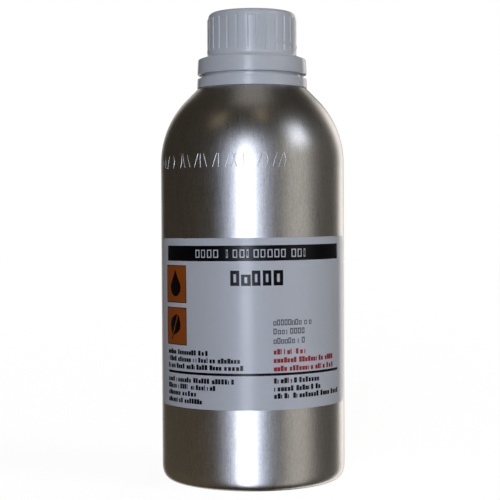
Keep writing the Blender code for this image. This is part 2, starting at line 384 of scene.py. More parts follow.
# %% The metal of the bottle
def brushed_aluminium(name, tint, roughness, depth):
    finish, tree, shader = new_finish(name, roughness, metallic=1.0)
    lines = use_group(tree, DRAW_LINES, Radius=WALL_RADIUS)
    wear = use_group(tree, SOFT_WEAR, Scale=45.0, Contrast=1.4)
    dark = tuple(channel * 0.82 for channel in tint)
    bright = tuple(min(channel * 1.22, 1.0) for channel in tint)
    soft_lines = calculate(tree, "MULTIPLY", lines.outputs["Lines"], 0.4)
    grain = calculate(tree, "MULTIPLY_ADD", lines.outputs["Grain"], 0.6, soft_lines)
    links = {"Value": grain, "From Min": 0.32, "From Max": 0.68}
    spread = shader_node(tree, "ShaderNodeMapRange", links).outputs["Result"]
    tree.links.new(mixed_color(tree, spread, dark, bright), shader.inputs["Base Color"])
    cloudy = calculate(tree, "MULTIPLY", wear.outputs["Patches"], 0.04)
    streaks = calculate(tree, "MULTIPLY_ADD", lines.outputs["Lines"], 0.12, roughness - 0.08)
    tree.links.new(calculate(tree, "ADD", streaks, cloudy), shader.inputs["Roughness"])
    height = calculate(tree, "MULTIPLY_ADD", lines.outputs["Grain"], 0.45, lines.outputs["Lines"])
    bumped(tree, shader, height, depth, 0.02 * MM)
    return finish


ALUMINIUM = brushed_aluminium("brushed_aluminium", (0.60, 0.59, 0.575), 0.30, 0.26)
# The stamped strokes get a lighter copy of the wall metal: a painted highlight that makes the raised strokes
# read bright.
STAMPED_PAINTED_HIGHLIGHT = brushed_aluminium("stamped_aluminium", (0.70, 0.70, 0.69), 0.30, 0.2)
print("metals:", ALUMINIUM.name, STAMPED_PAINTED_HIGHLIGHT.name)

# %% [markdown]
# ## The bottle
# A bottle like this is one piece of metal. A press squeezes a slug of aluminium up into a cup, and rollers
# then draw the shoulder and the neck in. It could be a subdivided cage, but its shape is purely turned, so a
# profile says it best: up inside, over the rolled lip and down the outside.

# %% Profile and turning of the bottle
SHOULDER_MIDDLE = (WALL_RADIUS - SHOULDER_ARC, SHOULDER_START)
CORNER_MIDDLE = (WALL_RADIUS - CORNER_WIDTH, CORNER_HEIGHT)


def cone_height(radius, clearance=0.0):
    """Height of the shoulder's straight 45 degree cone at a radius, or of a line held off it."""
    edge_radius = SHOULDER_MIDDLE[0] + SHOULDER_ARC * math.cos(math.pi / 4)
    edge_height = SHOULDER_START + SHOULDER_ARC * math.sin(math.pi / 4)
    return edge_height + edge_radius - radius + clearance * math.sqrt(2)


def base_corner(inset, count):
    """The corner between wall and foot, a little squarer than an ellipse, from the wall down."""
    fullness = 2.5
    points = []
    for step in range(count + 1):
        angle = math.pi / 2 * step / count
        out = math.cos(angle) ** (2 / fullness)
        down = math.sin(angle) ** (2 / fullness)
        width = CORNER_WIDTH - inset[0]
        depth = CORNER_HEIGHT - inset[1]
        points.append((CORNER_MIDDLE[0] + width * out, CORNER_HEIGHT - depth * down))
    return points


def base_dome(clearance, count=16):
    foot_inner = WALL_RADIUS - CORNER_WIDTH - FOOT_WIDTH
    reaches = [1 - step / count for step in range(count + 1)]
    return [(foot_inner * reach, BASE_RISE * (1 - reach**2) + clearance) for reach in reaches]


def bottle_profile():
    bore = NECK_RADIUS - NECK_WALL
    groove = GROOVE_RADIUS - NECK_WALL
    inner_arc = SHOULDER_ARC - WALL
    inside = base_dome(BASE_THICKNESS)[::-1]
    inside += base_corner((WALL, BASE_THICKNESS), 10)[::-1]
    inside += arc(SHOULDER_MIDDLE, (inner_arc, inner_arc), 0, 45, 16)
    inside += eased(
        [
            (groove + MM, cone_height(groove + MM, -WALL)),
            (groove, cone_height(groove, -WALL)),
            (groove, BEAD_HEIGHT - BEAD_HALF),
            (BEAD_RADIUS - NECK_WALL, BEAD_HEIGHT),
            (bore, NECK_SLOPE_TOP - NECK_WALL / 2),
            (bore, NECK_SLOPE_TOP + 2 * MM),
        ],
        0.5 * MM,
    )
    outside = arc((bore + LIP_ROUND, LIP_TOP - LIP_ROUND), (LIP_ROUND, LIP_ROUND), 180, -50, 14)
    outside += eased(
        [
            (NECK_RADIUS, LIP_TOP - 3 * LIP_ROUND),
            (NECK_RADIUS, NECK_SLOPE_TOP),
            (BEAD_RADIUS - BEAD_HALF, BEAD_HEIGHT + BEAD_HALF),
        ],
        0.8 * MM,
    )
    outside += arc((BEAD_RADIUS - BEAD_HALF, BEAD_HEIGHT), (BEAD_HALF, BEAD_HALF), 80, -80, 8)
    outside += [(GROOVE_RADIUS, cone_height(GROOVE_RADIUS))]
    outside += arc(SHOULDER_MIDDLE, (SHOULDER_ARC, SHOULDER_ARC), 45, 0, 28)
    outside += base_corner((0.0, 0.0), 16)
    outside += base_dome(0.0)
    return inside + outside


bottle = turned("bottle_wall", bottle_profile(), 192)
bottle.data.materials.append(ALUMINIUM)
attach(bottle, "bottle")
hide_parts("bottle_shell")

# %% [markdown]
# ## Screw threads
# The neck carries a thread of one and a half turns, and the cap has its own inside. Both are one flat-topped
# ridge on a helix, so one tree makes both: a spiral is the path and a trapezoid is swept along it. The
# section's own origin lies on its root, so where the ridge thins out at its ends it sinks into the wall.

# %% Thread tree
def make_thread_tree():
    tree = Tree(
        "screw_thread",
        [
            ("Root Radius", "Float", NECK_RADIUS),
            ("Height", "Float", 2.0 * MM),
            ("Pitch", "Float", THREAD_PITCH),
            ("Turns", "Float", 1.5),
            ("Start Height", "Float", THREAD_START),
            ("Root Width", "Float", 2.0 * MM),
            ("Crest Width", "Float", 1.0 * MM),
            ("Side", "Float", 1.0),
            ("Steps A Turn", "Int", 72),
            ("Material", "Material", None),
        ],
    )
    links = {
        "Resolution": tree.given("Steps A Turn"),
        "Rotations": tree.given("Turns"),
        "Start Radius": tree.given("Root Radius"),
        "End Radius": tree.given("Root Radius"),
        "Height": tree.math("MULTIPLY", tree.given("Pitch"), tree.given("Turns")),
    }
    helix = tree.add("GeometryNodeCurveSpiral", links)
    lift = tree.add("ShaderNodeCombineXYZ", {2: tree.given("Start Height")})
    placed = tree.add("GeometryNodeSetPosition", {0: helix.outputs[0], "Offset": lift.outputs[0]})
    upright = tree.add("GeometryNodeSetCurveNormal", {0: placed.outputs[0]}, mode="Z_UP")
    links = {
        "Height": tree.given("Height"),
        "Bottom Width": tree.given("Root Width"),
        "Top Width": tree.given("Crest Width"),
        "Offset": 0.0,
    }
    section = tree.add("GeometryNodeCurvePrimitiveQuadrilateral", links, mode="TRAPEZOID")
    turn = tree.add("ShaderNodeCombineXYZ", {2: tree.math("MULTIPLY", tree.given("Side"), -math.pi / 2)})
    half = tree.math("MULTIPLY", tree.given("Height"), 0.5)
    out = tree.add("ShaderNodeCombineXYZ", {0: tree.math("MULTIPLY", half, tree.given("Side"))})
    links = {0: section.outputs[0], "Translation": out.outputs[0], "Rotation": turn.outputs[0]}
    rooted = tree.add("GeometryNodeTransform", links)
    factor = tree.add("GeometryNodeSplineParameter").outputs["Factor"]
    from_end = tree.math("MINIMUM", factor, tree.math("SUBTRACT", 1.0, factor))
    thinning = tree.add("ShaderNodeMapRange", {"Value": from_end, "From Max": 0.07, "To Min": 0.05})
    links = {
        "Curve": upright.outputs[0],
        "Profile Curve": rooted.outputs[0],
        "Scale": thinning.outputs[0],
        "Fill Caps": True,
    }
    swept = tree.add("GeometryNodeCurveToMesh", links)
    return tree.finish(swept.outputs[0], tree.given("Material"))


def tree_piece(name, tree, points=(), edges=(), **values):
    """A new piece made by a tree, from guide lines where the tree needs them."""
    return run_tree(new_piece(name, flat_mesh(name, points, edges)), tree, **values)


def dress(piece, body, slot, *nodes):
    """A finished piece rides on its body and stands for its nodes of the working model. The slot is not used.
    """
    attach(piece, body)
    if nodes:
        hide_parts(*nodes)
    return piece


THREAD_TREE = make_thread_tree()
neck_thread = tree_piece(
    "neck_thread",
    THREAD_TREE,
    root_radius=NECK_RADIUS - NECK_WALL / 2,
    turns=1.5,
    start_height=THREAD_START,
    side=1.0,
    material=ALUMINIUM,
)
smooth(neck_thread, 30)
dress(neck_thread, "bottle", "bottle")

# %% [markdown]
# ## Marks stamped in the wall
# A press leaves a row of raised strokes round the top of the wall. Here they are plain slanted, upright and
# curved strokes that spell nothing. Each stroke starts as a line on a flat strip. One rule then wraps the
# strip round the bottle, following the wall and the start of the shoulder, and a thin round section is swept
# along it. Its centre lies just under the surface, so only a low rounded ridge stands proud.

# %% Stamped strokes
STAMP_LOW = 128.1 * MM
STAMP_HEIGHT = 5.8 * MM
STAMP_WIRE = 0.24 * MM
STAMP_PROUD = 0.14 * MM


def make_stamp_tree():
    tree = Tree(
        "stamped_strokes",
        [
            ("Wall Radius", "Float", WALL_RADIUS),
            ("Shoulder Start", "Float", SHOULDER_START),
            ("Shoulder Arc", "Float", SHOULDER_ARC),
            ("Wire Radius", "Float", STAMP_WIRE),
            ("Proud", "Float", STAMP_PROUD),
            ("Step", "Float", 0.5 * MM),
            ("Material", "Material", None),
        ],
    )
    curve = tree.add("GeometryNodeMeshToCurve", {0: tree.start.outputs[0]})
    fine = tree.add(
        "GeometryNodeResampleCurve", {0: curve.outputs[0], "Length": tree.given("Step")}, mode="LENGTH"
    )
    place = tree.add("GeometryNodeInputPosition")
    parts = tree.add("ShaderNodeSeparateXYZ", {0: place.outputs[0]})
    angle = tree.math("DIVIDE", parts.outputs[0], tree.given("Wall Radius"))
    rise = tree.math("MAXIMUM", tree.math("SUBTRACT", parts.outputs[2], tree.given("Shoulder Start")), 0.0)
    arc_squared = tree.math("MULTIPLY", tree.given("Shoulder Arc"), tree.given("Shoulder Arc"))
    reach = tree.math("SQRT", tree.math("SUBTRACT", arc_squared, tree.math("MULTIPLY", rise, rise)))
    drawn_in = tree.math("SUBTRACT", tree.given("Shoulder Arc"), reach)
    sunk = tree.math("SUBTRACT", tree.given("Wire Radius"), tree.given("Proud"))
    radius = tree.math("SUBTRACT", tree.math("SUBTRACT", tree.given("Wall Radius"), drawn_in), sunk)
    x = tree.math("MULTIPLY", radius, tree.math("SINE", angle))
    y = tree.math("MULTIPLY", radius, tree.math("MULTIPLY", tree.math("COSINE", angle), -1.0))
    wrapped = tree.add("ShaderNodeCombineXYZ", {0: x, 1: y, 2: parts.outputs[2]})
    placed = tree.add("GeometryNodeSetPosition", {0: fine.outputs[0], "Position": wrapped.outputs[0]})
    section = tree.add(
        "GeometryNodeCurvePrimitiveCircle", {"Resolution": 8, "Radius": tree.given("Wire Radius")}
    )
    links = {"Curve": placed.outputs[0], "Profile Curve": section.outputs[0], "Fill Caps": True}
    swept = tree.add("GeometryNodeCurveToMesh", links)
    return tree.finish(swept.outputs[0], tree.given("Material"))


def stamp_strokes(start, end, pitch):
    """Guide lines of the strokes on the flat strip, between two distances from the front."""
    draw = random.Random(11)
    points = []
    edges = []
    along = start
    while along < end:
        kind = draw.choice(["slant", "slant", "upright", "bow", "back", "gap"])
        lean = {"slant": 1.9, "back": -1.5}.get(kind, 0.0) * MM
        bow = 0.9 * MM if kind == "bow" else 0.0
        tall = STAMP_HEIGHT * draw.uniform(0.86, 1.0)
        if kind != "gap":
            for step in range(7):
                t = step / 6
                across = along + lean * t + bow * math.sin(math.pi * t)
                points.append((across, 0.0, STAMP_LOW + tall * t))
                if step:
                    edges.append((len(points) - 2, len(points) - 1))
        along += pitch * draw.uniform(0.8, 1.2)
    return points, edges


stroke_points, stroke_edges = stamp_strokes(-49 * MM, 13 * MM, 2.7 * MM)
# The strokes take the lighter copy of the metal, a painted highlight on their ridges.
stamped = tree_piece("stamped_strokes", make_stamp_tree(), stroke_points, stroke_edges, material=STAMPED_PAINTED_HIGHLIGHT)
smooth(stamped, 60)
dress(stamped, "bottle", "bottle")

# %% [markdown]
# ## Cap plastic
# Cap, ring and stopper are moulded plastic. The cap is stiff and has a soft shine, with a fine skin from the
# mould. The stopper is softer and milky, and the liner is a disc of foam.

# %% Plastics
def moulded_plastic(name, color, roughness, skin, **sockets):
    finish, tree, shader = new_finish(name, roughness, **sockets)
    wear = use_group(tree, SOFT_WEAR, Scale=70.0, Contrast=1.2)
    shade = tuple(channel * 0.955 for channel in color)
    tree.links.new(mixed_color(tree, wear.outputs["Patches"], color, shade), shader.inputs["Base Color"])
    rough = ranged(tree, wear.outputs["Patches"], roughness - 0.03, roughness + 0.05)
    tree.links.new(rough, shader.inputs["Roughness"])
    place = shader_node(tree, "ShaderNodeTexCoord").outputs["Object"]
    bumped(tree, shader, noise(tree, place, 1400.0, detail=2.0), skin, 0.02 * MM)
    return finish


CAP_PLASTIC = moulded_plastic("cap_plastic", (0.92, 0.95, 0.98), 0.16, 0.10)
PLUG_PLASTIC = moulded_plastic("plug_plastic", (0.84, 0.85, 0.84), 0.45, 0.2, Subsurface_Weight=0.15)


def foam(name, color):
    finish, tree, shader = new_finish(name, 0.8)
    place = shader_node(tree, "ShaderNodeTexCoord").outputs["Object"]
    cells = shader_node(tree, "ShaderNodeTexVoronoi", {"Vector": place, "Scale": 2600.0})
    dark = tuple(channel * 0.82 for channel in color)
    color_socket = mixed_color(tree, cells.outputs["Distance"], dark, color)
    tree.links.new(color_socket, shader.inputs["Base Color"])
    bumped(tree, shader, cells.outputs["Distance"], 0.6, 0.1 * MM)
    return finish


FOAM = foam("liner_foam", (0.83, 0.83, 0.81))
print("plastics:", CAP_PLASTIC.name, PLUG_PLASTIC.name, FOAM.name)

# %% [markdown]
# ## The cap
# The cap is a cup with a wide skirt that hides the ring's wall. It is turned like the bottle. The grip is a
# rule: wherever a point lies in one of the 28 narrow grooves, it is pulled in to the radius of the groove's
# floor. That is quicker and cleaner than cutting 28 boxes, and the grooves stay rounded at their edges.

# %% Cap
RIB_COUNT = 28
RIB_RADIUS = 18.5 * MM
RIB_RELIEF = 0.35 * MM
GROOVE_WIDTH = 0.9 * MM
RIB_BOTTOM = 176.3 * MM
RIB_TOP = 190.0 * MM
CAP_BORE = 16.3 * MM
CAP_EDGE = 2.2 * MM
CAP_ROOF = CAP_TOP - 1.8 * MM
SKIRT_TOP_RADIUS = 22.4 * MM
SKIRT_BORE = 21.1 * MM
SKIRT_TOP = 173.7 * MM
SKIRT_ROOF = 173.4 * MM
SLOPE_TOP = 174.9 * MM
STEPS_A_RIB = 26


def make_groove_tree():
    tree = Tree(
        "grip_grooves",
        [
            ("Count", "Float", float(RIB_COUNT)),
            ("Floor Radius", "Float", RIB_RADIUS - RIB_RELIEF),
            ("Width", "Float", GROOVE_WIDTH),
            ("Soft Edge", "Float", 0.14 * MM),
            ("Low", "Float", RIB_BOTTOM),
            ("Material", "Material", None),
        ],
    )
    parts = tree.add("ShaderNodeSeparateXYZ", {0: tree.add("GeometryNodeInputPosition").outputs[0]})
    x, y, z = parts.outputs
    radius = tree.math("SQRT", tree.math("ADD", tree.math("MULTIPLY", x, x), tree.math("MULTIPLY", y, y)))
    turns = tree.math("DIVIDE", tree.math("ARCTAN2", y, x), 2 * math.pi)
    phase = tree.math("FRACT", tree.math("MULTIPLY", turns, tree.given("Count")))
    off_middle = tree.math("ABSOLUTE", tree.math("SUBTRACT", phase, 0.5))
    pitch = tree.math("DIVIDE", tree.math("MULTIPLY", radius, 2 * math.pi), tree.given("Count"))
    half = tree.math("MULTIPLY", tree.given("Width"), 0.5)
    links = {
        "Value": tree.math("MULTIPLY", off_middle, pitch),
        "From Min": tree.math("SUBTRACT", half, tree.given("Soft Edge")),
        "From Max": tree.math("ADD", half, tree.given("Soft Edge")),
        "To Min": 1.0,
        "To Max": 0.0,
    }
    inside = tree.add("ShaderNodeMapRange", links, interpolation_type="SMOOTHSTEP")
    over_floor = tree.math("MAXIMUM", tree.math("SUBTRACT", radius, tree.given("Floor Radius")), 0.0)
    above = tree.math("GREATER_THAN", z, tree.given("Low"))
    pull = tree.math("MULTIPLY", tree.math("MULTIPLY", over_floor, inside.outputs[0]), above)
    shrink = tree.math("SUBTRACT", 1.0, tree.math("DIVIDE", pull, tree.math("MAXIMUM", radius, MM)))
    flat = tree.add("ShaderNodeCombineXYZ", {0: shrink, 1: shrink, 2: 1.0})
    links = {0: tree.add("GeometryNodeInputPosition").outputs[0], 1: flat.outputs[0]}
    moved = tree.add("ShaderNodeVectorMath", links, operation="MULTIPLY")
    placed = tree.add("GeometryNodeSetPosition", {0: tree.start.outputs[0], "Position": moved.outputs[0]})
    return tree.finish(placed.outputs[0], tree.given("Material"))


def cap_profile():
    edge_radius = RIB_RADIUS - RIB_RELIEF
    top = [(0.0, CAP_TOP - 0.5 * MM), (2.2 * MM, CAP_TOP - 0.5 * MM), (2.6 * MM, CAP_TOP - 0.1 * MM)]
    top += [(3.2 * MM, CAP_TOP), (9.0 * MM, CAP_TOP)]
    top += arc((edge_radius - CAP_EDGE, CAP_TOP - CAP_EDGE), (CAP_EDGE, CAP_EDGE), 90, 0, 8)
    side = eased(
        [
            (edge_radius, RIB_TOP + 0.75 * MM),
            (RIB_RADIUS, RIB_TOP),
            (RIB_RADIUS, RIB_BOTTOM + 0.15 * MM),
        ],
        0.3 * MM,
    )
    side += [(RIB_RADIUS, RIB_BOTTOM + 0.02 * MM), (RIB_RADIUS, RIB_BOTTOM - 0.1 * MM)]
    side += eased(
        [
            (RIB_RADIUS, RIB_BOTTOM - 0.5 * MM),
            (RIB_RADIUS, SLOPE_TOP),
            (SKIRT_TOP_RADIUS, SKIRT_TOP - 0.1 * MM),
            (SKIRT_RADIUS, SKIRT_BOTTOM),
            (SKIRT_BORE, SKIRT_BOTTOM),
            (SKIRT_BORE, SKIRT_ROOF),
            (CAP_BORE, SKIRT_ROOF),
            (CAP_BORE, CAP_ROOF),
            (0.0, CAP_ROOF),
        ],
        0.55 * MM,
    )
    return top + side


cap = turned("cap_body", cap_profile(), RIB_COUNT * STEPS_A_RIB)
run_tree(cap, make_groove_tree(), material=CAP_PLASTIC)
smooth(cap, 45)
dress(cap, "cap", "cap", "cap_shell")

cap_thread = tree_piece(
    "cap_thread",
    THREAD_TREE,
    root_radius=CAP_BORE + 0.5 * MM,
    height=1.85 * MM,
    turns=1.25,
    start_height=THREAD_START - THREAD_PITCH / 2,
    side=-1.0,
    material=CAP_PLASTIC,
)
smooth(cap_thread, 30)
dress(cap_thread, "cap", "cap")

# %% [markdown]
# ## The tamper ring
# The first turn of a new cap breaks the ring's thin bridges, and the ring stays on the bottle. It is a band
# that follows the shoulder, with a hook under the bead of the neck and an upright wall inside the skirt.
# The wall has four openings. The band is turned, and a tree sweeps one stretch of wall and repeats it.

# %% Tamper ring
RING_TOP = 165.7 * MM
RING_GAP = 0.08 * MM
WALL_OUTSIDE = 20.3 * MM
WALL_THICKNESS = 1.2 * MM
WALL_TOP = 172.4 * MM
HOOK_RADIUS = 17.0 * MM
HOOK_TOP = 168.8 * MM
WINDOW_WIDTH = 4.0 * MM


def ring_profile():
    foot = RING_RADIUS - 0.25 * MM
    line = eased(
        [
            (WALL_OUTSIDE - WALL_THICKNESS, HOOK_TOP),
            (WALL_OUTSIDE - 0.1 * MM, HOOK_TOP),
            (WALL_OUTSIDE - 0.1 * MM, RING_TOP),
            (RING_RADIUS - 0.2 * MM, RING_TOP),
            (RING_RADIUS, cone_height(foot, RING_GAP) + 0.1 * MM),
            (foot - 0.2 * MM, cone_height(foot - 0.2 * MM, RING_GAP)),
            (HOOK_RADIUS, cone_height(HOOK_RADIUS, RING_GAP)),
            (HOOK_RADIUS, HOOK_TOP),
            (WALL_OUTSIDE - WALL_THICKNESS, HOOK_TOP),
        ],
        0.4 * MM,
    )
    return line


def make_wall_tree():
    tree = Tree(
        "upright_wall",
        [
            ("Radius", "Float", WALL_OUTSIDE - WALL_THICKNESS / 2),
            ("Thickness", "Float", WALL_THICKNESS),
            ("Low", "Float", RING_TOP),
            ("High", "Float", WALL_TOP),
            ("Openings", "Int", 4),
            ("Opening Width", "Float", WINDOW_WIDTH),
            ("Steps", "Int", 40),
            ("Material", "Material", None),
        ],
    )
    share = tree.math("DIVIDE", 2 * math.pi, tree.given("Openings"))
    opening = tree.math("DIVIDE", tree.given("Opening Width"), tree.given("Radius"))
    start = tree.math("MULTIPLY_ADD", opening, 0.5, tree.math("MULTIPLY", share, 0.5))
    links = {
        "Resolution": tree.given("Steps"),
        "Radius": tree.given("Radius"),
        "Start Angle": start,
        "Sweep Angle": tree.math("SUBTRACT", share, opening),
    }
    stretch = tree.add("GeometryNodeCurveArc", links)
    middle = tree.math("MULTIPLY", tree.math("ADD", tree.given("Low"), tree.given("High")), 0.5)
    lift = tree.add("ShaderNodeCombineXYZ", {2: middle})
    placed = tree.add("GeometryNodeSetPosition", {0: stretch.outputs[0], "Offset": lift.outputs[0]})
    upright = tree.add("GeometryNodeSetCurveNormal", {0: placed.outputs[0]}, mode="Z_UP")
    height = tree.math("SUBTRACT", tree.given("High"), tree.given("Low"))
    links = {"Width": tree.given("Thickness"), "Height": height}
    section = tree.add("GeometryNodeCurvePrimitiveQuadrilateral", links)
    links = {"Curve": upright.outputs[0], "Profile Curve": section.outputs[0], "Fill Caps": True}
    wall = tree.add("GeometryNodeCurveToMesh", links)
    points = tree.add("GeometryNodePoints", {"Count": tree.given("Openings")})
    turn = tree.math("MULTIPLY", tree.add("GeometryNodeInputIndex").outputs[0], share)
    euler = tree.add("ShaderNodeCombineXYZ", {2: turn})
    rotation = tree.add("FunctionNodeEulerToRotation", {0: euler.outputs[0]})
    links = {"Points": points.outputs[0], "Instance": wall.outputs[0], "Rotation": rotation.outputs[0]}
    repeated = tree.add("GeometryNodeInstanceOnPoints", links)
    return tree.finish(repeated.outputs[0], tree.given("Material"))


band = turned("tamper_band", ring_profile(), 168)
band.data.materials.append(CAP_PLASTIC)
dress(band, "bottle", "ring", "tamper_ring")

ring_wall = tree_piece("tamper_wall", make_wall_tree(), material=CAP_PLASTIC)
smooth(ring_wall, 40)
dress(ring_wall, "bottle", "ring")

# %% [markdown]
# ## Stopper and liner
# Under the cap a soft cup plugs the neck, and a foam disc presses on it. Neither shows while the bottle is
# closed, but a part that opens should have them.

# %% Stopper and liner
PLUG_RADIUS = 12.8 * MM
PLUG_WALL = 1.0 * MM
PLUG_FLANGE = 14.4 * MM


def plug_profile():
    under = plug_high[2] - 0.8 * MM
    inner = PLUG_RADIUS - PLUG_WALL
    line = eased(
        [
            (0.0, plug_low[2] + PLUG_WALL),
            (inner, plug_low[2] + PLUG_WALL),
            (inner, plug_high[2]),
            (PLUG_FLANGE, plug_high[2]),
            (PLUG_FLANGE, under),
            (PLUG_RADIUS, under),
            (PLUG_RADIUS, plug_low[2] + PLUG_WALL),
            (PLUG_RADIUS - PLUG_WALL, plug_low[2]),
            (0.0, plug_low[2]),
        ],
        0.3 * MM,
    )
    return line


def liner_profile():
    rim = liner_high[0]
    line = eased(
        [(0.0, liner_high[2]), (rim, liner_high[2]), (rim, liner_low[2]), (0.0, liner_low[2])],
        0.25 * MM,
    )
    return line


plug = turned("neck_stopper", plug_profile(), 96)
plug.data.materials.append(PLUG_PLASTIC)
dress(plug, "bottle", "plug", "neck_plug")

liner = turned("foam_liner", liner_profile(), 96)
liner.data.materials.append(FOAM)
dress(liner, "liner", "liner", "cap_liner")

# %% [markdown]
# ## Paper and inks
# The label is coated paper with a slight shine. Its inks are thin, a little uneven, and as glossy as the
# paper's coating. Both take the same fibre effect, so the ink seems to lie in the paper's surface.

# %% Label finishes
def make_paper_fibre():
    inputs = [("Scale", "Float", 500.0)]
    group, start, end = shader_group("paper_fibre", inputs, [("Fibre", "Float"), ("Specks", "Float")])
    place = shader_node(group, "ShaderNodeTexCoord").outputs["Object"]
    group.links.new(
        noise(group, place, start.outputs["Scale"], detail=6.0, roughness=0.7), end.inputs["Fibre"]
    )
    fine = calculate(group, "MULTIPLY", start.outputs["Scale"], 6.0)
    specks = shader_node(group, "ShaderNodeTexVoronoi", {"Vector": place, "Scale": fine})
    group.links.new(specks.outputs["Distance"], end.inputs["Specks"])
    return group


PAPER_FIBRE = make_paper_fibre()


def printed(name, color, roughness, spread=0.12, **sockets):
    """A coated sheet or an ink on it: the colour varies by `spread` with the fibre under it."""
    finish, tree, shader = new_finish(name, roughness, **sockets)
    fibre = use_group(tree, PAPER_FIBRE)
    wear = use_group(tree, SOFT_WEAR, Scale=40.0, Contrast=1.0)
    low = tuple(channel * (1 - spread) for channel in color)
    high = tuple(min(channel * (1 + spread), 1.0) for channel in color)
    tree.links.new(mixed_color(tree, fibre.outputs["Fibre"], low, high), shader.inputs["Base Color"])
    rough = ranged(tree, wear.outputs["Patches"], roughness - 0.03, roughness + 0.04)
    tree.links.new(rough, shader.inputs["Roughness"])
    height = calculate(tree, "MULTIPLY_ADD", fibre.outputs["Specks"], 0.3, fibre.outputs["Fibre"])
    bumped(tree, shader, height, 0.12, 0.02 * MM)
    return finish


PAPER = printed("label_paper", (0.91, 0.94, 1.0), 0.20, 0.03)
BLACK_INK = printed("black_ink", (0.003, 0.003, 0.005), 0.2, IOR=1.3)
GREY_INK = printed("grey_ink", (0.12, 0.13, 0.16), 0.2)
RED_INK = printed("red_ink", (0.55, 0.018, 0.030), 0.2)
ORANGE_INK = printed("orange_ink", (0.52, 0.11, 0.006), 0.3)
BROWN_INK = printed("brown_ink", (0.09, 0.022, 0.008), 0.2)
print("inks:", [ink.name for ink in (BLACK_INK, GREY_INK, RED_INK, ORANGE_INK, BROWN_INK)])

# %% [markdown]
# ## The label
# A label is cut flat and then wrapped, so it is built that way. Everything on it is drawn flat, with x to the
# right, z up and -y towards the reader, as thin faces. The faces are sliced into narrow upright strips, given
# a thickness, and bent round the wall. It was stuck on by hand, so the whole sheet leans by half a degree.

# %% Flat drawing and wrapping
LABEL_WIDTH = 99.1 * MM
LABEL_TALL = 67.7 * MM
LABEL_CORNER = 2.5 * MM
LABEL_TURN = math.radians(0.7)
LABEL_LEAN = math.radians(0.44)
SHEET_LIFT = 0.10 * MM
SHEET_THICKNESS = 0.15 * MM
INK_THICKNESS = 0.02 * MM
STRIP = 0.8 * MM


def sliced(piece):
    """Cuts a flat mesh into upright strips, so that it can bend."""
    build = bmesh.new()
    build.from_mesh(piece.data)
    bmesh.ops.triangulate(build, faces=build.faces)
    half = round(LABEL_WIDTH / 2 / STRIP)
    for cut in range(-half, half + 1):
        everything = [*build.verts, *build.edges, *build.faces]
        bmesh.ops.bisect_plane(
            build,
            geom=everything,
            dist=0.001 * MM,
            plane_co=(cut * STRIP, 0.0, 0.0),
            plane_no=(1.0, 0.0, 0.0),
        )
    build.to_mesh(piece.data)
    build.free()


def wrapped(piece, lift, thickness):
    """Thickens a flat drawing towards -y and bends it round the wall, `lift` above the metal."""
    sliced(piece)
    solid = piece.modifiers.new("thickness", "SOLIDIFY")
    solid.thickness = thickness
    solid.offset = 1.0
    as_plain_mesh(piece)
    for vertex in piece.data.vertices:
        across, depth, up = vertex.co
        along = across * math.cos(LABEL_LEAN) - up * math.sin(LABEL_LEAN)
        height = across * math.sin(LABEL_LEAN) + up * math.cos(LABEL_LEAN)
        angle = along / WALL_RADIUS + LABEL_TURN
        radius = WALL_RADIUS + lift - depth
        vertex.co = (radius * math.sin(angle), -radius * math.cos(angle), LABEL_MIDDLE + height)
    piece.data.update()
    smooth(piece, 35)
    return dress(piece, "bottle", "label")


def drawn(name, outlines, finish, lift):
    """A piece of print from closed outlines in millimetres, each counterclockwise to the reader."""
    points = []
    faces = []
    for outline in outlines:
        first = len(points)
        points += [(across * MM, 0.0, up * MM) for across, up in outline]
        faces.append(range(first, len(points)))
    piece = new_piece(name, flat_mesh(name, points, [], [list(face) for face in faces]))
    piece.data.materials.append(finish)
    thickness = SHEET_THICKNESS if finish == PAPER else INK_THICKNESS
    wrapped(piece, lift, thickness)
    print(f"{name}: {len(outlines)} shapes, {len(piece.data.polygons)} faces")
    return piece


def rectangle(left, low, right, high):
    return [(left, low), (right, low), (right, high), (left, high)]


def rounded_rectangle(width, height, corner, steps=8):
    middles = [(1, -1, -90), (1, 1, 0), (-1, 1, 90), (-1, -1, 180)]
    outline = []
    for right, up, start in middles:
        middle = (right * (width / 2 - corner), up * (height / 2 - corner))
        outline += arc(middle, (corner, corner), start, start + 90, steps)
    return outline


FIRST_INK = SHEET_LIFT + SHEET_THICKNESS
SECOND_INK = FIRST_INK + INK_THICKNESS
sheet = rounded_rectangle(LABEL_WIDTH / MM, LABEL_TALL / MM, LABEL_CORNER / MM)
label = drawn("label_sheet", [sheet], PAPER, SHEET_LIFT)
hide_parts("label")

# %% [markdown]
# ## Bars, squares and signs
# The solid shapes are outlines: a band across the top, a rule lower down, and two orange squares. In the
# squares stand a drop and a leaf, drawn for this lesson, which mean no more than oil and plant.

# %% Solid print
def drop_outline(middle, size):
    """A drop with its tip up: a circle below, drawn out to a point above."""
    points = []
    for step in range(33):
        angle = math.radians(-90 + 360 * step / 32)
        pull = max(math.sin(angle), 0.0) ** 3
        width = math.cos(angle) * (1 - 0.75 * pull)
        points.append((middle[0] + size * width, middle[1] + size * (math.sin(angle) + 0.95 * pull)))
    return points[:-1]


def leaf_outlines(middle, size):
    """A leaf on a short stem, as two halves either side of a bare midrib."""
    halves = []
    for side in (1, -1):
        rib = []
        edge = []
        for step in range(13):
            t = step / 12
            swell = math.sin(math.pi * t) ** 0.8
            rib.append((0.05 * side, -0.8 + 1.7 * t))
            edge.append((side * (0.06 + 0.62 * swell), -0.8 + 1.7 * t))
        outline = rib[::-1] + edge if side > 0 else edge[::-1] + rib
        halves.append(outline)
    halves.append([(-0.05, -1.25), (0.05, -1.25), (0.05, -0.7), (-0.05, -0.7)])
    lean = math.radians(-24)
    placed = []
    for outline in halves:
        turned_points = []
        for across, up in outline:
            x = across * math.cos(lean) - up * math.sin(lean)
            y = across * math.sin(lean) + up * math.cos(lean)
            turned_points.append((middle[0] + size * x, middle[1] + size * y))
        placed.append(turned_points)
    return placed


